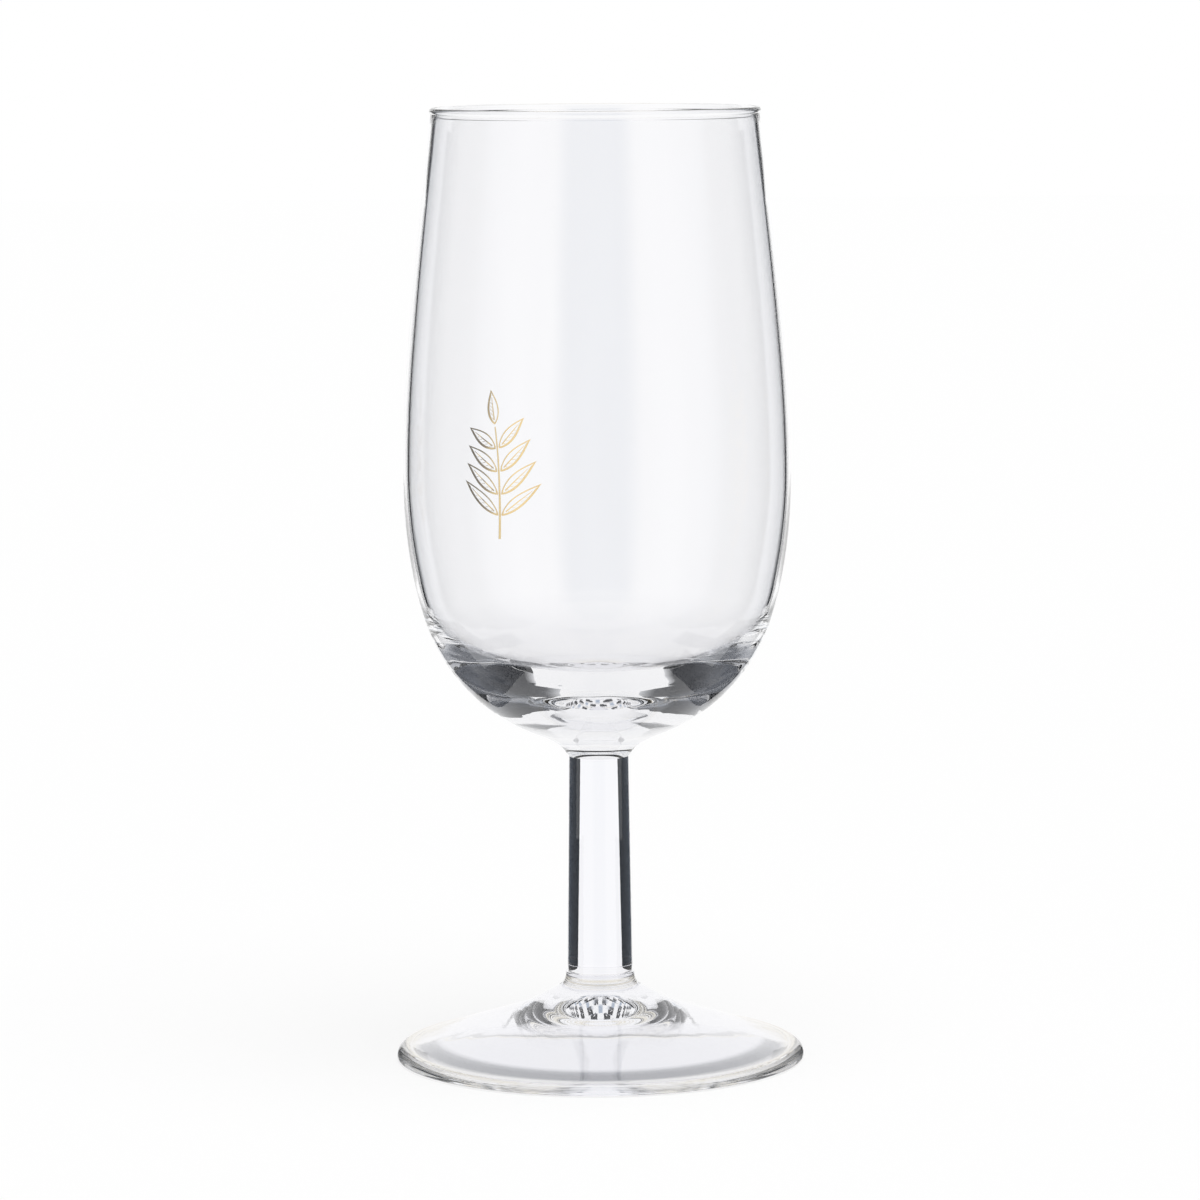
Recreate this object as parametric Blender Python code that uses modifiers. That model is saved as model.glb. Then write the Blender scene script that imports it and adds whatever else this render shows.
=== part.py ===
"""A stemmed cognac glass, in metres with +Z up.

Three pieces of clear glass are fused end to end: a tulip bowl with a heavy solid base, a tapered solid stem
and a low conical foot. A sprig in fired gold lies on the outside of the bowl. The origin is the centre of
the foot's underside, on the surface that the glass stands on, and the glass's axis is +Z. Seen from -Y the
sprig is on the far wall, left of the middle.
"""

import math

import bmesh
import bpy

# Driving dimensions. Heights are measured from the surface that the glass stands on.
HEIGHT = 0.136
WALL = 0.0008
LIP_RADIUS = 0.02345
BELLY_RADIUS = 0.02758
BELLY_HEIGHT = 0.0838
BASE_BALL_RADIUS = 0.02591
BASE_BALL_HEIGHT = 0.07116
INSIDE_HIP_RADIUS = 0.0251
INSIDE_HIP_HEIGHT = 0.0690
INSIDE_FLOOR_HEIGHT = 0.0535
COLLAR_RADIUS = 0.00513
COLLAR_HEIGHT = 0.0011
STEM_TOP_RADIUS = 0.00427
STEM_FOOT_RADIUS = 0.00468
STEM_TOP_HEIGHT = 0.0435
NECK_RADIUS = 0.00492
NECK_HEIGHT = 0.0123
FLARE_RADIUS = 0.0066
FLARE_HEIGHT = 0.00972
CONE_RADIUS = 0.013
CONE_HEIGHT = 0.00653
CREASE_RADIUS = 0.0276
CREASE_HEIGHT = 0.00174
FOOT_RADIUS = 0.0293
REST_RING_INSIDE = 0.0270
UNDERSIDE_RISE = 0.0068
SPRIG_HEIGHT = 0.0803
SPRIG_ANGLE = math.radians(33.7)
SPRIG_THICKNESS = 0.0002

# How the curves of the bowl pull towards their ends.
LIP_LEAN = 0.102
LIP_PULL = 0.0172
SHOULDER_PULL = 0.0172
HIP_PULL = 0.007
BASE_BALL_START = math.radians(18)
BASE_FLARE_RADIUS = 0.0085
INSIDE_HIP_LEAN = math.radians(12.5)
INSIDE_HIP_PULL = 0.005
INSIDE_CORNER_PULL = 0.008
INSIDE_FLOOR_PULL = 0.021

# How the foot's neck, cone and rounded edge pull, as radius and height, and how its underside rises.
NECK_PULLS = ((0.00495, 0.0109), (0.00535, 0.01035))
FLARE_PULLS = ((0.0082, 0.00892), (0.0100, 0.0076))
EDGE_PULLS = ((0.0285, 0.00174), (0.0293, 0.0011))
EDGE_CORNER = 0.0002
UNDERSIDE_POWER = 1.4

# Fineness of the turned and curved shapes, the clearance at the fused joints, and the unit of flat outlines.
TURN_STEPS = 48
CURVE_STEPS = 10
ARC_STEPS = 9
LIP_STEPS = 6
UNDERSIDE_STEPS = 12
JOINT_GAP = 0.0003
MILLIMETRE = 0.001

# The sprig's leaves, which grow in pairs along a bent stalk and end in one leaf at the tip.
STALK_LENGTH = 0.0172
STALK_WIDTH = 0.0008
STALK_BEND = math.radians(9)
LEAF_PAIRS = 4
LEAF_LENGTH = 0.0084
LEAF_SHRINK = 0.0008
LEAF_WIDTH = 0.0019
LEAF_NECK = 0.0005
LEAF_SPREAD = math.radians(50)
LEAF_STEPS = 8
FIRST_LEAF = 0.2

CLEAR_GLASS = (0.94, 0.95, 0.955, 1.0)
FIRED_GOLD = (0.72, 0.50, 0.17, 1.0)


def bezier(start, pull_start, pull_end, end, steps=CURVE_STEPS):
    """Points of a cubic curve, without its first one."""
    points = []
    for step in range(1, steps + 1):
        t = step / steps
        weights = ((1 - t) ** 3, 3 * t * (1 - t) ** 2, 3 * t * t * (1 - t), t**3)
        corners = (start, pull_start, pull_end, end)
        points.append(tuple(sum(w * c[axis] for w, c in zip(weights, corners)) for axis in (0, 1)))
    return points


def arc(centre, radius, first, last, steps=ARC_STEPS):
    """Points of a circular arc between two angles, without its first one."""
    points = []
    for step in range(1, steps + 1):
        angle = first + (last - first) * step / steps
        points.append((centre[0] + radius * math.cos(angle), centre[1] + radius * math.sin(angle)))
    return points


def wall_curve(inset, lip_height):
    """The bowl's side from the lip down to its belly, moved in by inset."""
    lip = (LIP_RADIUS - inset, lip_height)
    belly = (BELLY_RADIUS - inset, BELLY_HEIGHT)
    lip_pull = (lip[0] + LIP_LEAN * LIP_PULL, lip[1] - LIP_PULL)
    belly_pull = (belly[0], belly[1] + SHOULDER_PULL)
    return [lip] + bezier(lip, lip_pull, belly_pull, belly)


def bowl_outside():
    """Outline of the bowl's outside, from the lip down to the joint with the stem."""
    lip_height = HEIGHT - WALL / 2
    side = wall_curve(0.0, lip_height)
    belly = side[-1]
    lean = (math.sin(BASE_BALL_START), math.cos(BASE_BALL_START))
    ball = (
        BASE_BALL_RADIUS * math.cos(BASE_BALL_START),
        BASE_BALL_HEIGHT - BASE_BALL_RADIUS * math.sin(BASE_BALL_START),
    )
    belly_pull = (belly[0], belly[1] - HIP_PULL)
    ball_pull = (ball[0] + HIP_PULL * lean[0], ball[1] + HIP_PULL * lean[1])
    hip = bezier(belly, belly_pull, ball_pull, ball)
    flare = math.acos(BASE_FLARE_RADIUS / BASE_BALL_RADIUS)
    base = arc((0.0, BASE_BALL_HEIGHT), BASE_BALL_RADIUS, -BASE_BALL_START, -flare)
    collar = [(COLLAR_RADIUS, STEM_TOP_HEIGHT + COLLAR_HEIGHT), (STEM_TOP_RADIUS, STEM_TOP_HEIGHT)]
    return side + hip + base + collar


def bowl_inside():
    """Outline of the bowl's inside, from the middle of its floor up to the lip."""
    wall = wall_curve(WALL, HEIGHT - WALL / 2)
    belly = wall[-1]
    hip = (INSIDE_HIP_RADIUS, INSIDE_HIP_HEIGHT)
    lean = (math.sin(INSIDE_HIP_LEAN), math.cos(INSIDE_HIP_LEAN))
    above = (hip[0] + INSIDE_HIP_PULL * lean[0], hip[1] + INSIDE_HIP_PULL * lean[1])
    below = (hip[0] - INSIDE_CORNER_PULL * lean[0], hip[1] - INSIDE_CORNER_PULL * lean[1])
    side = bezier(belly, (belly[0], belly[1] - INSIDE_HIP_PULL), above, hip)
    floor = bezier(hip, below, (INSIDE_FLOOR_PULL, INSIDE_FLOOR_HEIGHT), (0.0, INSIDE_FLOOR_HEIGHT))
    return (wall + side + floor)[::-1]


def bowl_profile():
    outside = bowl_outside()
    lip_centre = (LIP_RADIUS - WALL / 2, HEIGHT - WALL / 2)
    lip = arc(lip_centre, WALL / 2, math.pi, 0.0, LIP_STEPS)
    return bowl_inside() + lip[:-1] + outside + [(0.0, STEM_TOP_HEIGHT)]


def stem_profile():
    top = STEM_TOP_HEIGHT - JOINT_GAP
    bottom = NECK_HEIGHT + JOINT_GAP
    return [(0.0, top), (STEM_TOP_RADIUS, top), (STEM_FOOT_RADIUS, bottom), (0.0, bottom)]


def foot_profile():
    """A short neck that flares into a cone, a rounded edge, and an underside that rises inside a flat ring."""
    neck = (NECK_RADIUS, NECK_HEIGHT)
    flare = (FLARE_RADIUS, FLARE_HEIGHT)
    crease = (CREASE_RADIUS, CREASE_HEIGHT)
    low = (FOOT_RADIUS, EDGE_CORNER)
    outline = [(0.0, NECK_HEIGHT), neck]
    outline += bezier(neck, *NECK_PULLS, flare)
    outline += bezier(flare, *FLARE_PULLS, (CONE_RADIUS, CONE_HEIGHT))
    outline.append(crease)
    outline += bezier(crease, *EDGE_PULLS, low)
    outline += arc((FOOT_RADIUS - EDGE_CORNER, EDGE_CORNER), EDGE_CORNER, 0.0, -math.pi / 2, LIP_STEPS)
    outline.append((REST_RING_INSIDE, 0.0))
    for step in range(1, UNDERSIDE_STEPS + 1):
        share = 1 - step / UNDERSIDE_STEPS
        outline.append((REST_RING_INSIDE * share, UNDERSIDE_RISE * (1 - share**UNDERSIDE_POWER)))
    return outline


def principled(name, colour, roughness, metallic=0.0, transmission=0.0):
    material = bpy.data.materials.new(name)
    material.use_nodes = True
    shader = material.node_tree.nodes["Principled BSDF"]
    shader.inputs["Base Color"].default_value = colour
    shader.inputs["Roughness"].default_value = roughness
    shader.inputs["Metallic"].default_value = metallic
    shader.inputs["Transmission Weight"].default_value = transmission
    return material


def add_part(name, mesh, material, height):
    """A node of the glass, with its origin on the axis at the given height."""
    mesh.materials.append(material)
    part = bpy.data.objects.new(name, mesh)
    part.parent = axis
    part.location = (0.0, 0.0, height)
    parts.objects.link(part)
    return part


def turned(name, profile, material):
    """A turned piece whose origin is at its lowest point on the axis of the glass."""
    base = min(z for _, z in profile)
    mesh = bpy.data.meshes.new(name)
    edges = [(i, i + 1) for i in range(len(profile) - 1)]
    mesh.from_pydata([(r, 0.0, z - base) for r, z in profile], edges, [])
    part = add_part(name, mesh, material, base)
    screw = part.modifiers.new("turn", "SCREW")
    screw.axis = "Z"
    screw.angle = 2 * math.pi
    screw.steps = TURN_STEPS
    screw.render_steps = TURN_STEPS
    screw.use_merge_vertices = True
    screw.merge_threshold = 0.000001
    screw.use_smooth_shade = True
    return part


def stalk_at(share):
    """A point of the stalk's arc and its heading, at a share of the stalk's length."""
    turn = STALK_BEND * (1 - 2 * share)
    radius = STALK_LENGTH / (2 * STALK_BEND)
    point = (radius * (math.cos(STALK_BEND) - math.cos(turn)), -radius * math.sin(turn))
    return point, math.pi / 2 + turn


def leaf_outline(root, heading, length):
    """One pointed leaf, from the right of its neck round the tip to the left of its neck."""
    right = []
    for step in range(LEAF_STEPS + 1):
        t = step / LEAF_STEPS
        half = LEAF_WIDTH / 2 * math.sin(math.pi * t**0.8) + LEAF_NECK / 2 * (1 - t)
        right.append((t * length, -half))
    left = [(along, -across) for along, across in reversed(right[:-1])]
    cos, sin = math.cos(heading), math.sin(heading)
    return [(root[0] + a * cos - b * sin, root[1] + a * sin + b * cos) for a, b in right + left]


def sprig_outline():
    """One closed line round the sprig: up the right of the stalk, round the tip, and down the left."""
    right, left = [], []
    for pair in range(LEAF_PAIRS):
        share = FIRST_LEAF + (1 - FIRST_LEAF) * pair / LEAF_PAIRS
        middle, heading = stalk_at(share)
        length = LEAF_LENGTH - LEAF_SHRINK * pair
        aside = (math.sin(heading) * STALK_WIDTH / 2, -math.cos(heading) * STALK_WIDTH / 2)
        right += leaf_outline((middle[0] + aside[0], middle[1] + aside[1]), heading - LEAF_SPREAD, length)
        left = leaf_outline((middle[0] - aside[0], middle[1] - aside[1]), heading + LEAF_SPREAD, length) + left
    tip, heading = stalk_at(1.0)
    top = leaf_outline(tip, heading, LEAF_LENGTH - LEAF_SHRINK * LEAF_PAIRS)
    end, heading = stalk_at(0.0)
    aside = (math.sin(heading) * STALK_WIDTH / 2, -math.cos(heading) * STALK_WIDTH / 2)
    foot_right = (end[0] + aside[0], end[1] + aside[1])
    foot_left = (end[0] - aside[0], end[1] - aside[1])
    return [foot_right] + right + top + left + [foot_left]


def radius_outside(height):
    """The bowl's outside radius at a height on its side."""
    outline = bowl_outside()
    for (r_high, z_high), (r_low, z_low) in zip(outline, outline[1:]):
        if z_low <= height <= z_high:
            return r_low + (r_high - r_low) * (height - z_low) / (z_high - z_low)
    return BELLY_RADIUS


def gold_sprig(material):
    """The flat outline of the sprig, filled in millimetres and bent round the bowl just clear of its outside."""
    curve = bpy.data.curves.new("gold_sprig_outline", "CURVE")
    curve.dimensions = "2D"
    curve.fill_mode = "BOTH"
    curve.extrude = SPRIG_THICKNESS / 2 / MILLIMETRE
    outline = sprig_outline()
    spline = curve.splines.new("POLY")
    spline.points.add(len(outline) - 1)
    for point, (across, along) in zip(spline.points, outline):
        point.co = (across / MILLIMETRE, along / MILLIMETRE, 0.0, 1.0)
    spline.use_cyclic_u = True
    flat = bpy.data.objects.new("gold_sprig_outline", curve)
    parts.objects.link(flat)
    bpy.context.view_layer.update()
    evaluated = flat.evaluated_get(bpy.context.evaluated_depsgraph_get())
    mesh = bpy.data.meshes.new_from_object(evaluated)
    bpy.data.objects.remove(flat)
    shape = bmesh.new()
    shape.from_mesh(mesh)
    bmesh.ops.remove_doubles(shape, verts=shape.verts, dist=0.0001)
    for vertex in shape.verts:
        across, along, out = vertex.co * MILLIMETRE
        height = SPRIG_HEIGHT + along
        radius = radius_outside(height) + JOINT_GAP + SPRIG_THICKNESS / 2 + out
        angle = SPRIG_ANGLE + across / BELLY_RADIUS
        vertex.co = (-radius * math.sin(angle), radius * math.cos(angle), along)
    bmesh.ops.recalc_face_normals(shape, faces=shape.faces)
    shape.to_mesh(mesh)
    shape.free()
    mesh.name = "gold_sprig"
    return add_part("gold_sprig", mesh, material, SPRIG_HEIGHT)


for leftover in list(bpy.data.objects):
    bpy.data.objects.remove(leftover)
parts = bpy.data.collections.new("cognac_glass")
bpy.context.scene.collection.children.link(parts)
axis = bpy.data.objects.new("glass_axis", None)
parts.objects.link(axis)

bowl = turned("bowl", bowl_profile(), principled("bowl_glass", CLEAR_GLASS, 0.02, transmission=1.0))
stem = turned("stem", stem_profile(), principled("stem_glass", CLEAR_GLASS, 0.03, transmission=1.0))
foot = turned("foot", foot_profile(), principled("foot_glass", CLEAR_GLASS, 0.04, transmission=1.0))
gold_sprig(principled("fired_gold", FIRED_GOLD, 0.25, metallic=1.0))
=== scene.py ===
import math

import bpy
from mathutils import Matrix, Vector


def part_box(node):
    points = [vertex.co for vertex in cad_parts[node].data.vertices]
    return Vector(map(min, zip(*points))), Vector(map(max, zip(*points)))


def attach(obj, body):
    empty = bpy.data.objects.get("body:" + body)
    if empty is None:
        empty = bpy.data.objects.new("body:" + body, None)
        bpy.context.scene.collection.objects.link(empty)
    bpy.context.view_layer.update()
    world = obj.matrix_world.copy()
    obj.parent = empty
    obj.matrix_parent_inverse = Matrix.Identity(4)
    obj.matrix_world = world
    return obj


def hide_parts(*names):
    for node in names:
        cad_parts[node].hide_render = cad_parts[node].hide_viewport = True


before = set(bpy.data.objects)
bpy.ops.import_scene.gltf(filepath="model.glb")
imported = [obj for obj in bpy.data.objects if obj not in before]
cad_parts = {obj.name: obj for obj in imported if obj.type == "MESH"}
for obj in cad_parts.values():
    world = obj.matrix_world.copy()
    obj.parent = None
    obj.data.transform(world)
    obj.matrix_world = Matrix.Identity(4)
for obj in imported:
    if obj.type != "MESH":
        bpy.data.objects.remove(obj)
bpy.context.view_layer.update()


# Bowl: a blown tulip of clear soda-lime glass with thin fire-polished walls. Its base is left solid and
# heavy, rounds off like a ball and draws in to a short collar, where the hot stem was fused on.

bowl_low, bowl_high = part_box("bowl")
height = bowl_high.z
stem_top = bowl_low.z
belly_radius = bowl_high.x
belly_height = 0.0838
wall = 0.0008
wall_pull = 0.0172
lip_radius = 0.02345
lip_bulge = 0.0002
lip_lean = 0.102
bead_radius = 0.0005
bead_end = math.radians(-50)
ball_radius = 0.02591
ball_height = 0.07116
ball_start = math.radians(18)
hip_pull = 0.007
flare_radius = 0.0085
flare_curve = ((0.0068, 0.0459), (0.0056, 0.0452))
collar_radius = 0.00513
collar_height = 0.0011
stem_top_radius = 0.00427
inner_hip = (0.0251, 0.0690)
inner_hip_angle = math.radians(12.5)
inner_hip_pull = 0.005
corner_pull = 0.0080
floor_height = 0.0535
floor_reach = 0.0210
side_steps = 40
hip_steps = 20
ball_steps = 36
flare_steps = 8
collar_steps = 3
floor_steps = 60
bead_steps = 18
turn_steps = 192
merge_gap = 0.000001
smooth_angle = math.radians(30)


def bezier(start, pull_start, pull_end, end, steps):
    """Points of a cubic curve as (radius, height), without its first one."""
    points = []
    for step in range(1, steps + 1):
        t = step / steps
        weights = ((1 - t) ** 3, 3 * t * (1 - t) ** 2, 3 * t * t * (1 - t), t**3)
        corners = (start, pull_start, pull_end, end)
        points.append(tuple(sum(w * c[i] for w, c in zip(weights, corners)) for i in (0, 1)))
    return points


def arc(centre, radius, first, last, steps):
    """Points of a circular arc as (radius, height), without its first one."""
    points = []
    for step in range(1, steps + 1):
        angle = first + (last - first) * step / steps
        points.append((centre[0] + radius * math.cos(angle), centre[1] + radius * math.sin(angle)))
    return points


def straight(start, end, steps):
    """Points of a straight run as (radius, height), without its first one."""
    return [tuple(a + (b - a) * s / steps for a, b in zip(start, end)) for s in range(1, steps + 1)]


def turned_piece(name, outline):
    """Draws an outline of (radius, height) points as a chain of edges and spins it about the glass's axis."""
    bpy.ops.object.select_all(action="DESELECT")
    bpy.ops.mesh.primitive_plane_add(size=wall)
    piece = bpy.context.object
    piece.name = name
    piece.data.name = name
    bpy.ops.object.mode_set(mode="EDIT")
    bpy.ops.mesh.merge(type="CENTER")
    bpy.ops.transform.translate(value=(outline[0][0], 0.0, outline[0][1]))
    for (r_from, z_from), (r_to, z_to) in zip(outline, outline[1:]):
        step = (r_to - r_from, 0.0, z_to - z_from)
        bpy.ops.mesh.extrude_vertices_move(TRANSFORM_OT_translate={"value": step})
    bpy.ops.mesh.select_all(action="SELECT")
    bpy.ops.mesh.spin(steps=turn_steps, angle=2 * math.pi, center=(0, 0, 0), axis=(0, 0, 1))
    bpy.ops.mesh.select_all(action="SELECT")
    bpy.ops.mesh.remove_doubles(threshold=merge_gap)
    bpy.ops.mesh.normals_make_consistent(inside=False)
    bpy.ops.object.mode_set(mode="OBJECT")
    bpy.ops.object.shade_smooth_by_angle(angle=smooth_angle)
    return piece


def side_curve(inset):
    """The bowl's side from lip to belly, moved in by inset."""
    lip = (lip_radius - lip_bulge - inset, height - 2 * bead_radius)
    belly = (belly_radius - inset, belly_height)
    lip_pull = (lip[0] + lip_lean * wall_pull, lip[1] - wall_pull)
    belly_pull = (belly[0], belly[1] + wall_pull)
    return [lip] + bezier(lip, lip_pull, belly_pull, belly, side_steps)


outside = side_curve(0.0)
ball_lean = (math.sin(ball_start), math.cos(ball_start))
ball_top = (ball_radius * ball_lean[1], ball_height - ball_radius * ball_lean[0])
ball_end = -math.acos(flare_radius / ball_radius)
below_belly = (belly_radius, belly_height - hip_pull)
above_ball = (ball_top[0] + hip_pull * ball_lean[0], ball_top[1] + hip_pull * ball_lean[1])
outside += bezier(outside[-1], below_belly, above_ball, ball_top, hip_steps)
outside += arc((0.0, ball_height), ball_radius, -ball_start, ball_end, ball_steps)
collar_top = (collar_radius, stem_top + collar_height)
outside += bezier(outside[-1], *flare_curve, collar_top, flare_steps)
outside += straight(collar_top, (stem_top_radius, stem_top), collar_steps)

inside = side_curve(wall)
hip_lean = (math.sin(inner_hip_angle), math.cos(inner_hip_angle))
inside_belly = (belly_radius - wall, belly_height - inner_hip_pull)
above_hip = tuple(at + inner_hip_pull * lean for at, lean in zip(inner_hip, hip_lean))
below_hip = tuple(at - corner_pull * lean for at, lean in zip(inner_hip, hip_lean))
inside += bezier(inside[-1], inside_belly, above_hip, inner_hip, hip_steps)
inside += bezier(inner_hip, below_hip, (floor_reach, floor_height), (0.0, floor_height), floor_steps)

bead_centre = (lip_radius - bead_radius, height - bead_radius)
bead = [(lip_radius - 2 * bead_radius, height - bead_radius)]
bead += arc(bead_centre, bead_radius, math.pi, bead_end, bead_steps)
bowl = turned_piece("bowl_glass", inside[::-1] + bead + outside + [(0.0, stem_top)])

glass_ior = 1.52


def linear(hex_colour):
    """An sRGB hex colour as linear RGBA."""
    levels = [int(hex_colour[i : i + 2], 16) / 255 for i in (1, 3, 5)]
    return tuple(c / 12.92 if c <= 0.04045 else ((c + 0.055) / 1.055) ** 2.4 for c in levels) + (1.0,)


def add_node(tree, kind, settings=None, inputs=None, links=None):
    """Adds a node, sets its properties and socket values, and links its sockets from other nodes' outputs."""
    node = tree.nodes.new(kind)
    for key, value in (settings or {}).items():
        setattr(node, key, value)
    for key, value in (inputs or {}).items():
        node.inputs[key].default_value = value
    for key, source in (links or {}).items():
        tree.links.new(source, node.inputs[key])
    return node


def soda_lime_glass(name):
    """A clear soda-lime glass, given as its material, node tree and shader."""
    material = bpy.data.materials.new(name)
    material.use_nodes = True
    shader = material.node_tree.nodes["Principled BSDF"]
    shader.inputs["IOR"].default_value = glass_ior
    shader.inputs["Transmission Weight"].default_value = 1.0
    shader.inputs["Roughness"].default_value = 0.0
    return material, material.node_tree, shader


# Soda-lime glass, blown and fire polished: clear and a trace blue-white, with faint upright streaks from the
# blowing. Low down, where the heavy floor chilled before it had levelled, it ripples slowly and is greyer.
mm = 0.001
bowl_tint = "#FDFDFE"
bowl_streak = "#FBFBFC"
bowl_deep = "#F1F1F3"
streak_width = 3.0 * mm
streak_length = 40.0 * mm
ripple_size = 7.0 * mm
ripple_depth = 0.1 * mm
ripple_top = 0.064
ripple_full = 0.057
blown_glass, blown_tree, blown_shader = soda_lime_glass("soda_lime_glass_blown")
bowl_place = add_node(blown_tree, "ShaderNodeTexCoord")
streak_map = add_node(
    blown_tree,
    "ShaderNodeMapping",
    inputs={"Scale": (1 / streak_width, 1 / streak_width, 1 / streak_length)},
    links={"Vector": bowl_place.outputs["Object"]},
)
streaks = add_node(
    blown_tree,
    "ShaderNodeTexNoise",
    inputs={"Scale": 1.0, "Detail": 2.0},
    links={"Vector": streak_map.outputs[0]},
)
streaked = add_node(
    blown_tree,
    "ShaderNodeMix",
    {"data_type": "RGBA"},
    inputs={6: linear(bowl_tint), 7: linear(bowl_streak)},
    links={0: streaks.outputs["Fac"]},
)
bowl_xyz = add_node(blown_tree, "ShaderNodeSeparateXYZ", links={0: bowl_place.outputs["Object"]})
near_floor = add_node(
    blown_tree,
    "ShaderNodeMapRange",
    inputs={"From Min": ripple_top, "From Max": ripple_full},
    links={"Value": bowl_xyz.outputs["Z"]},
)
deepened = add_node(
    blown_tree,
    "ShaderNodeMix",
    {"data_type": "RGBA"},
    inputs={7: linear(bowl_deep)},
    links={0: near_floor.outputs[0], 6: streaked.outputs[2]},
)
blown_tree.links.new(deepened.outputs[2], blown_shader.inputs["Base Color"])
ripple = add_node(
    blown_tree,
    "ShaderNodeTexNoise",
    inputs={"Scale": 1 / ripple_size, "Detail": 1.0},
    links={"Vector": bowl_place.outputs["Object"]},
)
chilled = add_node(
    blown_tree,
    "ShaderNodeBump",
    inputs={"Distance": ripple_depth},
    links={"Height": ripple.outputs["Fac"], "Strength": near_floor.outputs[0]},
)
blown_tree.links.new(chilled.outputs[0], blown_shader.inputs["Normal"])

# A fused seam: the two glasses ran together, so light passes it as if it weren't there.
fused_seam = bpy.data.materials.new("fused_seam")
fused_seam.use_nodes = True
seam_tree = fused_seam.node_tree
seam_tree.nodes.remove(seam_tree.nodes["Principled BSDF"])
clear = add_node(seam_tree, "ShaderNodeBsdfTransparent")
seam_tree.links.new(clear.outputs[0], seam_tree.nodes["Material Output"].inputs["Surface"])


def fuse_at(piece, glass, seam_height, seam_radius):
    """Gives the disc where a piece is fused to its neighbour the seam's material, and the rest the glass."""
    if not piece.data.materials:
        piece.data.materials.append(glass)
        piece.data.materials.append(fused_seam)
    for face in piece.data.polygons:
        on_plane = all(abs(piece.data.vertices[v].co.z - seam_height) < merge_gap for v in face.vertices)
        if on_plane and face.center.xy.length < seam_radius:
            face.material_index = 1


fuse_at(bowl, blown_glass, stem_top, stem_top_radius)
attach(bowl, "root")
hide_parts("bowl")


# Stem: a solid pressed rod of the same glass, a little thicker at its foot, fused to the bowl's collar above
# and to the foot's neck below.

neck_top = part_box("foot")[1].z
stem_foot_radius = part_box("stem")[1].x
stem_steps = 24
stem_outline = [(0.0, stem_top), (stem_top_radius, stem_top)]
stem_outline += straight((stem_top_radius, stem_top), (stem_foot_radius, neck_top), stem_steps)
stem = turned_piece("stem_glass", stem_outline + [(0.0, neck_top)])

# Soda-lime glass, pressed: clear, with a skin like orange peel from the mould, which frays the edges of what
# is seen through it.
stem_tint = "#FCFCFF"
peel_size = 0.7 * mm
peel_depth = 0.004 * mm
rod_glass, rod_tree, rod_shader = soda_lime_glass("soda_lime_glass_pressed_rod")
rod_shader.inputs["Base Color"].default_value = linear(stem_tint)
rod_place = add_node(rod_tree, "ShaderNodeTexCoord")
peel = add_node(
    rod_tree,
    "ShaderNodeTexNoise",
    inputs={"Scale": 1 / peel_size, "Detail": 2.0},
    links={"Vector": rod_place.outputs["Object"]},
)
skin = add_node(
    rod_tree,
    "ShaderNodeBump",
    inputs={"Distance": peel_depth},
    links={"Height": peel.outputs["Fac"]},
)
rod_tree.links.new(skin.outputs[0], rod_shader.inputs["Normal"])

fuse_at(stem, rod_glass, stem_top, stem_top_radius)
fuse_at(stem, rod_glass, neck_top, stem_foot_radius)
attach(stem, "root")
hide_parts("stem")


# Foot: a pressed low cone of the same glass with a short neck, a rounded edge and an underside that rises
# inside the ring it stands on.

foot_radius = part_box("foot")[1].x
neck = (0.00492, neck_top)
neck_curve = ((0.00495, 0.0109), (0.00535, 0.01035))
flare = (0.0066, 0.00972)
cone_curve = ((0.0082, 0.00892), (0.0100, 0.0076))
cone = (0.013, 0.00653)
shoulder = (0.0256, 0.00238)
shoulder_curve = ((0.0264, 0.00211), (0.0271, 0.00188))
crease = (0.0276, 0.00174)
edge_curve = ((0.0285, 0.00174), (foot_radius, 0.0011))
edge_corner = 0.0002
ring_in = 0.0270
underside_rise = 0.0068
underside_power = 1.4
neck_steps = 40
cone_steps = 16
shoulder_steps = 14
edge_steps = 24
corner_steps = 6
ring_steps = 4
underside_steps = 60
corner_centre = (foot_radius - edge_corner, edge_corner)
foot_outline = [(0.0, neck_top), (stem_foot_radius, neck_top), neck]
foot_outline += bezier(neck, *neck_curve, flare, neck_steps)
foot_outline += bezier(flare, *cone_curve, cone, neck_steps)
foot_outline += straight(cone, shoulder, cone_steps)
foot_outline += bezier(shoulder, *shoulder_curve, crease, shoulder_steps)
foot_outline += bezier(crease, *edge_curve, (foot_radius, edge_corner), edge_steps)
foot_outline += arc(corner_centre, edge_corner, 0.0, -math.pi / 2, corner_steps)
foot_outline += straight(foot_outline[-1], (ring_in, 0.0), ring_steps)
for step in range(1, underside_steps + 1):
    way_in = 1 - step / underside_steps
    foot_outline.append((ring_in * way_in, underside_rise * (1 - way_in**underside_power)))
foot = turned_piece("foot_glass", foot_outline)

# Soda-lime glass, pressed: clear, with a slow waviness from the mould. Under the foot, the cove inside the
# ring carries painted shade, a grey band for the shaded table seen through it, and the ring itself is dulled
# by wear.
foot_tint = "#F6F6F9"
cove_in = 0.0226
cove_top = 0.0017
# Painted shade: grey tints across the cove under the foot, darkest just inside the ring it stands on.
cove_shade_tints = (
    (0.0230, "#D8D9DD"),
    (0.0236, "#888A8E"),
    (0.0244, "#6E7074"),
    (0.0255, "#6E7074"),
    (0.0261, "#C4C4C2"),
    (0.0265, "#F0EFEC"),
)
cove_shade_edge = "#F0EFEC"
wave_size = 6.0 * mm
wave_depth = 0.025 * mm
ring_worn = 0.15 * mm
worn_roughness = 0.05
pressed_glass, pressed_tree, pressed_shader = soda_lime_glass("soda_lime_glass_pressed")
foot_place = add_node(pressed_tree, "ShaderNodeTexCoord")
foot_xyz = add_node(pressed_tree, "ShaderNodeSeparateXYZ", links={0: foot_place.outputs["Object"]})
foot_plan = add_node(
    pressed_tree,
    "ShaderNodeVectorMath",
    {"operation": "MULTIPLY"},
    inputs={1: (1.0, 1.0, 0.0)},
    links={0: foot_place.outputs["Object"]},
)
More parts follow.
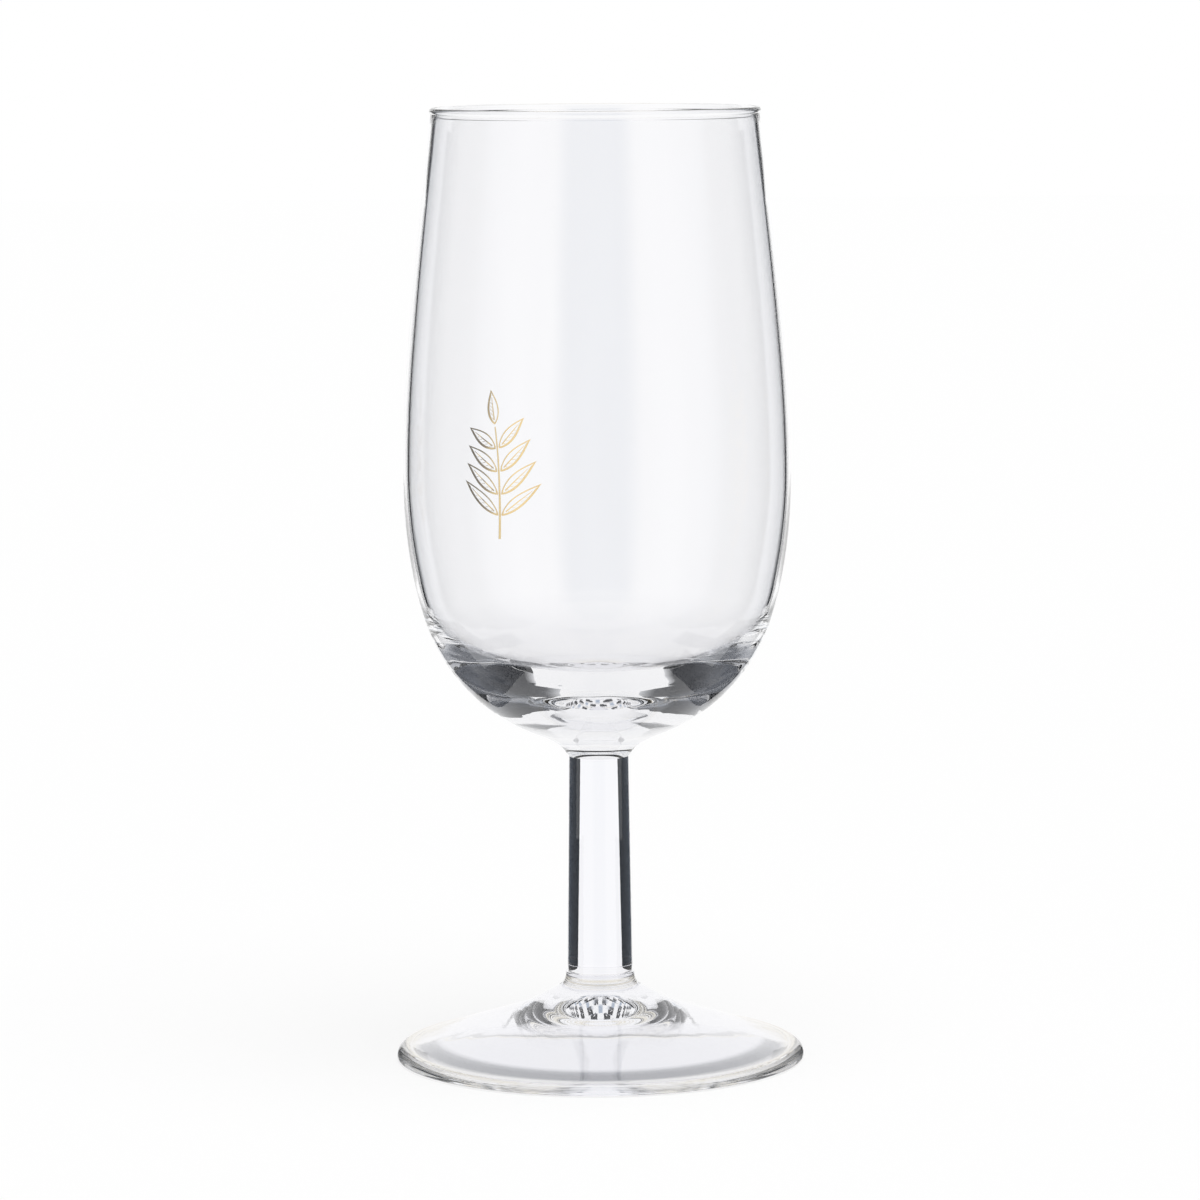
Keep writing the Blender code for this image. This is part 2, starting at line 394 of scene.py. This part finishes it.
from_axis = add_node(
    pressed_tree,
    "ShaderNodeVectorMath",
    {"operation": "LENGTH"},
    links={0: foot_plan.outputs[0]},
)
across_cove = add_node(
    pressed_tree,
    "ShaderNodeMapRange",
    inputs={"From Min": cove_in, "From Max": ring_in},
    links={"Value": from_axis.outputs["Value"]},
)
# The painted shade is set into the foot's glass colour, on the underside only, from the cove's inner edge out
# to the ring.
cove_painted_shade = add_node(pressed_tree, "ShaderNodeValToRGB", links={"Fac": across_cove.outputs[0]})
cove_shade_stops = cove_painted_shade.color_ramp.elements
cove_shade_stops[0].color = linear(foot_tint)
cove_shade_stops[1].color = linear(cove_shade_edge)
for radius, colour in cove_shade_tints:
    stop = cove_shade_stops.new((radius - cove_in) / (ring_in - cove_in))
    stop.color = linear(colour)
underneath = add_node(
    pressed_tree,
    "ShaderNodeMath",
    {"operation": "LESS_THAN"},
    inputs={1: cove_top},
    links={0: foot_xyz.outputs["Z"]},
)
within_ring = add_node(
    pressed_tree,
    "ShaderNodeMath",
    {"operation": "LESS_THAN"},
    inputs={1: ring_in},
    links={0: from_axis.outputs["Value"]},
)
in_shaded_cove = add_node(
    pressed_tree,
    "ShaderNodeMath",
    {"operation": "MULTIPLY"},
    links={0: underneath.outputs[0], 1: within_ring.outputs[0]},
)
foot_colour = add_node(
    pressed_tree,
    "ShaderNodeMix",
    {"data_type": "RGBA"},
    inputs={6: linear(foot_tint)},
    links={0: in_shaded_cove.outputs[0], 7: cove_painted_shade.outputs[0]},
)
pressed_tree.links.new(foot_colour.outputs[2], pressed_shader.inputs["Base Color"])
wave = add_node(
    pressed_tree,
    "ShaderNodeTexNoise",
    inputs={"Scale": 1 / wave_size, "Detail": 1.0},
    links={"Vector": foot_place.outputs["Object"]},
)
waved = add_node(
    pressed_tree,
    "ShaderNodeBump",
    inputs={"Distance": wave_depth},
    links={"Height": wave.outputs["Fac"]},
)
pressed_tree.links.new(waved.outputs[0], pressed_shader.inputs["Normal"])
worn = add_node(
    pressed_tree,
    "ShaderNodeMapRange",
    inputs={"From Min": ring_worn, "From Max": 0.0, "To Max": worn_roughness},
    links={"Value": foot_xyz.outputs["Z"]},
)
pressed_tree.links.new(worn.outputs[0], pressed_shader.inputs["Roughness"])

fuse_at(foot, pressed_glass, neck_top, stem_foot_radius)
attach(foot, "root")
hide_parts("foot")


# Print: a leaf sprig in fine lines of bright gold, screen printed on the outside of the bowl and fired on as
# a film a few hundredths of a millimetre thick. It is drawn flat, in millimetres, and then bent round.

sprig_height = 0.0803
sprig_angle = math.radians(33.7)
stalk_length = 17.2
stalk_bend = math.radians(9)
stalk_line = 0.42
stalk_tip = 0.20
stalk_steps = 30
leaf_pairs = 4
leaf_length = 8.4
leaf_shrink = 0.8
leaf_width = 1.9
leaf_fullness = 0.8
leaf_neck = 0.16
leaf_gap = 0.4
leaf_spread = math.radians(50)
leaf_steps = 20
first_leaf = 0.2
light_line = 0.20
heavy_line = 0.34
hollow_start = 0.05
hollow_sides = (0.08, 0.88)
hollow_end = 0.92
rib_line = 0.20
rib_taper = ((0.12, 0.5), (0.45, 0.4), (0.78, 0.15))
vein_line = 0.12
vein_lean = 1.2
vein_starts = (0.16, 0.27, 0.38, 0.49, 0.60)
vein_off_rib = 0.06
vein_off_edge = 0.08
vein_tries = 6
gold_thickness = 0.04
gold_lift = 0.01

drawing = bpy.data.curves.new("gold_sprig_lines", "CURVE")
drawing.dimensions = "2D"
drawing.fill_mode = "BOTH"
drawing.extrude = gold_thickness / 2


def draw(points):
    """Adds a closed outline of (across, along) points in millimetres to the drawing."""
    line = drawing.splines.new("POLY")
    line.points.add(len(points) - 1)
    for point, (across, along) in zip(line.points, points):
        point.co = (across, along, 0.0, 1.0)
    line.use_cyclic_u = True


def stalk_at(share):
    """The stalk's point and heading at a share of its length."""
    turn = stalk_bend * (1 - 2 * share)
    bow = stalk_length / (2 * stalk_bend)
    return (bow * (math.cos(stalk_bend) - math.cos(turn)), -bow * math.sin(turn)), turn


def leaf_half(share):
    """Half of a leaf's width at a share of its length."""
    return leaf_width / 2 * math.sin(math.pi * share**leaf_fullness) + leaf_neck / 2 * (1 - share)


def hollow_half(share, heavy):
    """Half of the width inside a leaf's outline, on its heavy or its light side."""
    return leaf_half(share) - (heavy_line if heavy else light_line)


def draw_leaf(root, heading, length, shadow):
    """Draws a leaf's outline, heavier on its shadow side, its midrib, and the veins of its shadow half."""

    def leaf_point(along, across):
        along += leaf_gap
        return (
            root[0] - math.sin(heading) * along + math.cos(heading) * across,
            root[1] + math.cos(heading) * along + math.sin(heading) * across,
        )

    shares = [step / leaf_steps for step in range(leaf_steps + 1)]
    edge = [leaf_point(s * length, leaf_half(s)) for s in shares]
    edge += [leaf_point(s * length, -leaf_half(s)) for s in shares[-2::-1]]
    draw(edge)
    inner = [s for s in shares if hollow_sides[0] < s < hollow_sides[1]]
    hollow = [leaf_point(hollow_start * length, 0.0)]
    hollow += [leaf_point(s * length, hollow_half(s, shadow == 1)) for s in inner]
    hollow += [leaf_point(hollow_end * length, 0.0)]
    hollow += [leaf_point(s * length, -hollow_half(s, shadow == -1)) for s in reversed(inner)]
    draw(hollow)
    rib = [leaf_point(s * length, w * rib_line) for s, w in rib_taper]
    rib += [leaf_point(s * length, -w * rib_line) for s, w in reversed(rib_taper)]
    draw(rib)
    near = rib_line / 2 + vein_off_rib
    for start in vein_starts:
        far = near
        for _ in range(vein_tries):
            end = start + (far - near) * vein_lean / length
            far = hollow_half(end, True) - vein_off_edge
        draw(
            [
                leaf_point(start * length - vein_line / 2, shadow * near),
                leaf_point(end * length - vein_line / 4, shadow * far),
                leaf_point(end * length + vein_line / 4, shadow * far),
                leaf_point(start * length + vein_line / 2, shadow * near),
            ]
        )


stalk_left = []
stalk_right = []
for step in range(stalk_steps + 1):
    (across, along), turn = stalk_at(step / stalk_steps)
    half = (stalk_line + (stalk_tip - stalk_line) * step / stalk_steps) / 2
    stalk_left.append((across - math.cos(turn) * half, along - math.sin(turn) * half))
    stalk_right.append((across + math.cos(turn) * half, along + math.sin(turn) * half))
draw(stalk_left + stalk_right[::-1])
for pair in range(leaf_pairs):
    root, turn = stalk_at(first_leaf + (1 - first_leaf) * pair / leaf_pairs)
    for side in (-1, 1):
        draw_leaf(root, turn + side * leaf_spread, leaf_length - leaf_shrink * pair, -side)
root, turn = stalk_at(1.0)
draw_leaf(root, turn, leaf_length - leaf_shrink * leaf_pairs, 1)

sprig = bpy.data.objects.new("gold_sprig_print", drawing)
bpy.context.scene.collection.objects.link(sprig)
bpy.ops.object.select_all(action="DESELECT")
sprig.select_set(True)
bpy.context.view_layer.objects.active = sprig
bpy.ops.object.convert(target="MESH")
sprig = bpy.context.object
gold_middle = (gold_lift + gold_thickness / 2) * mm
profile = sorted((z, r) for r, z in outside)
for vertex in sprig.data.vertices:
    across, along, out = vertex.co * mm
    z = sprig_height + along
    below, above = next((a, b) for a, b in zip(profile, profile[1:]) if a[0] <= z <= b[0])
    share = (z - below[0]) / (above[0] - below[0])
    r = below[1] + (above[1] - below[1]) * share + gold_middle + out
    angle = sprig_angle + across / belly_radius
    vertex.co = (-r * math.sin(angle), r * math.cos(angle), z)
bpy.ops.object.mode_set(mode="EDIT")
bpy.ops.mesh.select_all(action="SELECT")
bpy.ops.mesh.remove_doubles(threshold=merge_gap)
bpy.ops.mesh.normals_make_consistent(inside=False)
bpy.ops.object.mode_set(mode="OBJECT")
bpy.ops.object.shade_smooth_by_angle(angle=smooth_angle)

# Bright gold, screen printed and fired: a burnished film that mirrors the room, with the grain of the screen,
# drawn twice as coarse so that it shows, and deeper, duller places where washing has thinned it.
full_gold = "#FFE7A4"
thin_gold = "#F5CE80"
full_roughness = 0.03
thin_roughness = 0.12
wear_size = 1.2 * mm
grain_size = 0.15 * mm
grain_depth = 0.002 * mm
bright_gold = bpy.data.materials.new("bright_gold_fired")
bright_gold.use_nodes = True
gold_tree = bright_gold.node_tree
gold_shader = gold_tree.nodes["Principled BSDF"]
gold_shader.inputs["Metallic"].default_value = 1.0
gold_place = add_node(gold_tree, "ShaderNodeTexCoord")
wear = add_node(
    gold_tree,
    "ShaderNodeTexNoise",
    inputs={"Scale": 1 / wear_size, "Detail": 3.0},
    links={"Vector": gold_place.outputs["Object"]},
)
gold_colour = add_node(
    gold_tree,
    "ShaderNodeMix",
    {"data_type": "RGBA"},
    inputs={6: linear(full_gold), 7: linear(thin_gold)},
    links={0: wear.outputs["Fac"]},
)
gold_tree.links.new(gold_colour.outputs[2], gold_shader.inputs["Base Color"])
dulled = add_node(
    gold_tree,
    "ShaderNodeMapRange",
    inputs={"To Min": full_roughness, "To Max": thin_roughness},
    links={"Value": wear.outputs["Fac"]},
)
gold_tree.links.new(dulled.outputs[0], gold_shader.inputs["Roughness"])
grain = add_node(
    gold_tree,
    "ShaderNodeTexNoise",
    inputs={"Scale": 1 / grain_size, "Detail": 1.0},
    links={"Vector": gold_place.outputs["Object"]},
)
screened = add_node(
    gold_tree,
    "ShaderNodeBump",
    inputs={"Distance": grain_depth},
    links={"Height": grain.outputs["Fac"]},
)
gold_tree.links.new(screened.outputs[0], gold_shader.inputs["Normal"])
sprig.data.materials.append(bright_gold)
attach(sprig, "root")
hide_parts("gold_sprig")


# Camera and stand: a long lens a little above the rim. The stand turns with the camera and carries the screen
# and the dark cards, because clear glass has no edges but those that it bends in from its surroundings.

camera_pitch = math.radians(90 - 6.70)
camera_roll = math.radians(-0.34)
camera_place = (0.0003, -0.750, 0.154)
sensor_width = 36.0
lens = 158.7
camera_data = bpy.data.cameras.new("camera")
camera = bpy.data.objects.new("camera", camera_data)
bpy.context.scene.collection.objects.link(camera)
camera.rotation_mode = "ZXY"
camera.rotation_euler = (camera_pitch, 0.0, camera_roll)
camera.location = camera_place
camera_data.sensor_width = sensor_width
camera_data.lens = lens
bpy.context.scene.camera = camera
bpy.context.view_layer.update()
card_stand = bpy.data.objects.new("card_stand", None)
bpy.context.scene.collection.objects.link(card_stand)
follow = card_stand.constraints.new("COPY_ROTATION")
follow.target = camera
follow.use_x = False
follow.use_y = False


# Cards: felt on both sides of the glass, black or fading to pale, given by (depth, height) corners. A card
# stops only light that has met a given number of surfaces before it: few for the walls and the stem, more for
# the solid base and the foot, and nine for the print.

felt_black = "#232528"
card_out = 0.050
strip_out = 0.0505
print_out = 0.0495
thin_views = (1, 4)
deep_views = (5, 13)
foot_views = (6, 13)
base_views = (6, 6)
print_views = (9, 9)
all_views = (1, 13)
view_slack = 0.25
wall_strip = [
    (0.031, 0.050),
    (0.046, 0.050),
    (0.046, 0.105),
    (0.053, 0.123),
    (0.074, 0.128),
    (0.074, 0.140),
    (0.056, 0.165),
    (0.044, 0.165),
    (0.043, 0.123),
    (0.031, 0.105),
]
pale_card = [
    (-0.022, 0.045),
    (0.031, 0.045),
    (0.031, 0.105),
    (0.043, 0.123),
    (0.044, 0.165),
    (-0.022, 0.165),
]
pale_fade = ((-0.022, "#FFFFFF"), (-0.006, "#F6F7F8"), (0.010, "#DADCE0"), (0.031, "#B4B7BC"))
stem_card = [(0.022, -0.010), (0.082, -0.010), (0.100, 0.030), (0.100, 0.040), (0.022, 0.040)]
foot_card = [(0.022, -0.010), (0.082, -0.010), (0.100, 0.030), (0.100, 0.036), (0.022, 0.034)]
low_black = [
    (-0.030, 0.0),
    (0.022, 0.0),
    (0.022, 0.034),
    (0.044, 0.045),
    (0.002, 0.045),
    (0.002, 0.025),
    (-0.030, 0.025),
]
black_card = [
    (0.044, 0.036),
    (0.100, 0.036),
    (0.102, 0.121),
    (0.074, 0.121),
    (0.074, 0.136),
    (0.050, 0.165),
    (0.044, 0.165),
]
back_fade = (
    (0.044, "#707276"),
    (0.056, "#4E5054"),
    (0.070, "#303236"),
    (0.088, "#2E3034"),
    (0.104, "#F2F3F5"),
)
oval_card = [(0.084, 0.066), (0.125, 0.070), (0.165, 0.084), (0.165, 0.114), (0.104, 0.124), (0.084, 0.121)]
oval_fade = ((0.084, "#2E3034"), (0.120, "#4A4C50"), (0.162, "#C8CACC"))
front_card = [(-0.022, 0.045), (0.044, 0.045), (0.044, 0.165), (-0.022, 0.165)]
front_fade = ((-0.022, "#FFFFFF"), (-0.002, "#E2E4E8"), (0.008, "#C2C5CB"), (0.017, "#6A6D73"))
print_card = [(-0.003, 0.055), (0.044, 0.055), (0.044, 0.110), (-0.003, 0.110)]
print_fade = ((-0.003, "#C2C5CB"), (0.003, "#1C1A18"))
cards = (
    ("wall_strip", strip_out, wall_strip, thin_views, None),
    ("pale_card", strip_out, pale_card, thin_views, pale_fade),
    ("stem_card", strip_out, stem_card, thin_views, None),
    ("foot_card", card_out, foot_card, foot_views, None),
    ("low_black", card_out, low_black, all_views, None),
    ("black_card", card_out, black_card, deep_views, back_fade),
    ("oval_card", print_out, oval_card, base_views, oval_fade),
    ("front_card", card_out, front_card, deep_views, front_fade),
    ("print_card", print_out, print_card, print_views, print_fade),
)


def hang_card(name, corners, views, fade):
    """Hangs a card, black or fading along its depth, for light that has met so many surfaces before it."""
    bpy.ops.object.select_all(action="DESELECT")
    bpy.ops.mesh.primitive_plane_add(size=wall)
    card = bpy.context.object
    card.name = name
    card.data.name = name
    bpy.ops.object.mode_set(mode="EDIT")
    bpy.ops.mesh.merge(type="CENTER")
    bpy.ops.transform.translate(value=corners[0])
    for corner_from, corner_to in zip(corners, corners[1:]):
        step = [after - before for before, after in zip(corner_from, corner_to)]
        bpy.ops.mesh.extrude_vertices_move(TRANSFORM_OT_translate={"value": step})
    bpy.ops.mesh.select_all(action="SELECT")
    bpy.ops.mesh.edge_face_add()
    bpy.ops.object.mode_set(mode="OBJECT")
    felt = bpy.data.materials.new(name + "_felt")
    felt.use_nodes = True
    felt_tree = felt.node_tree
    felt_tree.nodes.remove(felt_tree.nodes["Principled BSDF"])
    tone = add_node(felt_tree, "ShaderNodeEmission", inputs={"Color": linear(felt_black)})
    if fade:
        card_place = add_node(felt_tree, "ShaderNodeTexCoord")
        card_xyz = add_node(felt_tree, "ShaderNodeSeparateXYZ", links={0: card_place.outputs["Object"]})
        along_fade = add_node(
            felt_tree,
            "ShaderNodeMapRange",
            inputs={"From Min": fade[0][0], "From Max": fade[-1][0]},
            links={"Value": card_xyz.outputs["Y"]},
        )
        faded = add_node(felt_tree, "ShaderNodeValToRGB", links={"Fac": along_fade.outputs[0]})
        fade_ramp = faded.color_ramp.elements
        fade_ramp[0].color = linear(fade[0][1])
        fade_ramp[1].color = linear(fade[-1][1])
        for depth, colour in fade[1:-1]:
            stop = fade_ramp.new((depth - fade[0][0]) / (fade[-1][0] - fade[0][0]))
            stop.color = linear(colour)
        felt_tree.links.new(faded.outputs[0], tone.inputs["Color"])
    light_path = add_node(felt_tree, "ShaderNodeLightPath")
    middle_view = sum(views) / 2
    view_span = (views[1] - views[0]) / 2 + view_slack
    met = add_node(
        felt_tree,
        "ShaderNodeMath",
        {"operation": "COMPARE"},
        inputs={1: middle_view, 2: view_span},
        links={0: light_path.outputs["Ray Depth"]},
    )
    passed = add_node(felt_tree, "ShaderNodeBsdfTransparent")
    shown = add_node(
        felt_tree,
        "ShaderNodeMixShader",
        links={0: met.outputs[0], 1: passed.outputs[0], 2: tone.outputs[0]},
    )
    felt_tree.links.new(shown.outputs[0], felt_tree.nodes["Material Output"].inputs["Surface"])
    felt.cycles.emission_sampling = "NONE"
    card.data.materials.append(felt)
    card.visible_camera = False
    card.visible_diffuse = False
    card.visible_shadow = False
    card.parent = card_stand


for card_name, out, shape, views, fade in cards:
    for side, way in (("left", -1), ("right", 1)):
        hang_card(card_name + "_" + side, [(way * out, y, z) for y, z in shape], views, fade)


# Screen: a tall white cylinder far round the set, which only light from glass and metal meets. It is dimmer
# and bluer on the camera's side, and gives the bowl its soft upright band.

screen_reach = 12.0
screen_low = -7.0
screen_high = 36.0
screen_sides = 96
screen_white = "#FFFFFF"
camera_side = "#B0BBCA"
bright_to = math.radians(150)
dim_from = math.radians(166)
bpy.ops.object.select_all(action="DESELECT")
bpy.ops.mesh.primitive_cylinder_add(
    vertices=screen_sides,
    radius=screen_reach,
    depth=screen_high - screen_low,
    end_fill_type="NOTHING",
    location=(0.0, 0.0, (screen_high + screen_low) / 2),
)
bpy.ops.object.transform_apply(location=True)
screen = bpy.context.object
screen.name = "graded_screen"
screen.data.name = "graded_screen"
graded = bpy.data.materials.new("graded_screen")
graded.use_nodes = True
graded_tree = graded.node_tree
graded_tree.nodes.remove(graded_tree.nodes["Principled BSDF"])
screen_place = add_node(graded_tree, "ShaderNodeTexCoord")
screen_xyz = add_node(graded_tree, "ShaderNodeSeparateXYZ", links={0: screen_place.outputs["Object"]})
back_to_front = add_node(
    graded_tree,
    "ShaderNodeMapRange",
    inputs={"From Min": screen_reach, "From Max": -screen_reach},
    links={"Value": screen_xyz.outputs["Y"]},
)
grade = add_node(graded_tree, "ShaderNodeValToRGB", links={"Fac": back_to_front.outputs[0]})
grade.color_ramp.interpolation = "EASE"
grade_ramp = grade.color_ramp.elements
grade_ramp[0].position = (1 - math.cos(bright_to)) / 2
grade_ramp[0].color = linear(screen_white)
grade_ramp[1].position = (1 - math.cos(dim_from)) / 2
grade_ramp[1].color = linear(camera_side)
screen_glow = add_node(graded_tree, "ShaderNodeEmission", links={"Color": grade.outputs[0]})
graded_tree.links.new(screen_glow.outputs[0], graded_tree.nodes["Material Output"].inputs["Surface"])
graded.cycles.emission_sampling = "NONE"
screen.data.materials.append(graded)
screen.visible_camera = False
screen.visible_diffuse = False
screen.visible_shadow = False
screen.parent = card_stand


# Table: matt white paper that runs out of view and keeps a soft shadow. Light through the glass meets two
# discs
# instead: one with painted contact shadow and a painted bright ring under the foot, and a pale cream one far
# below for the floor.

table_size = 6.0
table_drop = 0.0002
table_white = "#F2F2F2"
table_roughness = 0.6
table_glow = 1.02
glow_share = 0.8
under_foot_drop = 0.0001
# Painted light and shade under the foot: a pale cream ring where light comes through the resting ring, then a
# grey contact shadow just outside it.
under_foot = (
    (0.0, "#F4F4F6"),
    (0.0262, "#F4F4F6"),
    (0.0270, "#F0EBDD"),
    (0.0292, "#F0EBDD"),
    (0.0294, "#A09E98"),
    (0.0303, "#E4E1D8"),
)
cream_drop = 2.8
cream_floor = ((0.0, "#F5F2E9"), (1.6, "#F7F4EC"), (3.4, "#FFFFFF"))
bpy.ops.object.select_all(action="DESELECT")
bpy.ops.mesh.primitive_plane_add(size=table_size, location=(0.0, 0.0, -table_drop))
table = bpy.context.object
table.name = "table"
paper = bpy.data.materials.new("white_table")
paper.use_nodes = True
paper_tree = paper.node_tree
paper_shader = paper_tree.nodes["Principled BSDF"]
paper_shader.inputs["Base Color"].default_value = linear(table_white)
paper_shader.inputs["Roughness"].default_value = table_roughness
paper_shader.inputs["Specular IOR Level"].default_value = 0.0
paper_glow = add_node(paper_tree, "ShaderNodeEmission", inputs={"Strength": table_glow})
lit_paper = add_node(
    paper_tree,
    "ShaderNodeMixShader",
    inputs={"Fac": glow_share},
    links={1: paper_shader.outputs[0], 2: paper_glow.outputs[0]},
)
paper_tree.links.new(lit_paper.outputs[0], paper_tree.nodes["Material Output"].inputs["Surface"])
paper.cycles.emission_sampling = "NONE"
table.data.materials.append(paper)
table.visible_transmission = False
table.visible_glossy = False


def lay_disc(name, drop, stops):
    """Lays a disc of paper, shaded by the radius, that only light through the glass meets."""
    reach = stops[-1][0]
    bpy.ops.object.select_all(action="DESELECT")
    bpy.ops.mesh.primitive_circle_add(vertices=turn_steps, radius=reach, fill_type="TRIFAN")
    disc = bpy.context.object
    disc.name = name
    disc.data.name = name
    bpy.ops.object.mode_set(mode="EDIT")
    bpy.ops.transform.translate(value=(0.0, 0.0, -drop))
    bpy.ops.object.mode_set(mode="OBJECT")
    shaded = bpy.data.materials.new(name + "_paper")
    shaded.use_nodes = True
    shaded_tree = shaded.node_tree
    shaded_tree.nodes.remove(shaded_tree.nodes["Principled BSDF"])
    disc_place = add_node(shaded_tree, "ShaderNodeTexCoord")
    disc_plan = add_node(
        shaded_tree,
        "ShaderNodeVectorMath",
        {"operation": "MULTIPLY"},
        inputs={1: (1.0, 1.0, 0.0)},
        links={0: disc_place.outputs["Object"]},
    )
    from_middle = add_node(
        shaded_tree,
        "ShaderNodeVectorMath",
        {"operation": "LENGTH"},
        links={0: disc_plan.outputs[0]},
    )
    across_disc = add_node(
        shaded_tree,
        "ShaderNodeMapRange",
        inputs={"From Max": reach},
        links={"Value": from_middle.outputs["Value"]},
    )
    shading = add_node(shaded_tree, "ShaderNodeValToRGB", links={"Fac": across_disc.outputs[0]})
    disc_ramp = shading.color_ramp.elements
    disc_ramp[0].color = linear(stops[0][1])
    disc_ramp[1].color = linear(stops[-1][1])
    for radius, colour in stops[1:-1]:
        stop = disc_ramp.new(radius / reach)
        stop.color = linear(colour)
    disc_glow = add_node(shaded_tree, "ShaderNodeEmission", links={"Color": shading.outputs[0]})
    shaded_tree.links.new(disc_glow.outputs[0], shaded_tree.nodes["Material Output"].inputs["Surface"])
    shaded.cycles.emission_sampling = "NONE"
    disc.data.materials.append(shaded)
    disc.visible_camera = False
    disc.visible_diffuse = False
    disc.visible_glossy = False
    disc.visible_shadow = False


lay_disc("table_under_foot", under_foot_drop, under_foot)
lay_disc("cream_floor", cream_drop, cream_floor)


# Light: a dim white room, which the camera, mirrors and glass see at full white, and one broad soft light
# from above. Light may cross many surfaces, because the solid base and the foot's edge pass it on inside.

room_white = "#FFFFFF"
room_level = 0.3
softbox_tilt = (math.radians(12), math.radians(8), 0.0)
softbox_height = 2.0
softbox_spread = math.radians(50)
softbox_energy = 2.3
longest_path = 32
world = bpy.data.worlds.new("studio")
bpy.context.scene.world = world
world.use_nodes = True
room = world.node_tree
room_path = add_node(room, "ShaderNodeLightPath")
seen_or_mirrored = add_node(
    room,
    "ShaderNodeMath",
    {"operation": "MAXIMUM"},
    links={0: room_path.outputs["Is Camera Ray"], 1: room_path.outputs["Is Glossy Ray"]},
)
shown_white = add_node(
    room,
    "ShaderNodeMath",
    {"operation": "MAXIMUM"},
    links={0: seen_or_mirrored.outputs[0], 1: room_path.outputs["Is Transmission Ray"]},
)
room_strength = add_node(
    room,
    "ShaderNodeMapRange",
    inputs={"To Min": room_level, "To Max": 1.0},
    links={"Value": shown_white.outputs[0]},
)
room.links.new(room_strength.outputs[0], room.nodes["Background"].inputs["Strength"])
room.nodes["Background"].inputs["Color"].default_value = linear(room_white)

bpy.ops.object.light_add(type="SUN", location=(0.0, 0.0, softbox_height), rotation=softbox_tilt)
overhead = bpy.context.object
overhead.name = "overhead_softbox"
overhead.data.angle = softbox_spread
overhead.data.energy = softbox_energy
overhead.visible_glossy = False
overhead.visible_transmission = False

bpy.context.scene.view_settings.view_transform = "Standard"
bpy.context.scene.cycles.max_bounces = longest_path
bpy.context.scene.cycles.glossy_bounces = longest_path
bpy.context.scene.cycles.transmission_bounces = longest_path
bpy.context.scene.cycles.transparent_max_bounces = longest_path
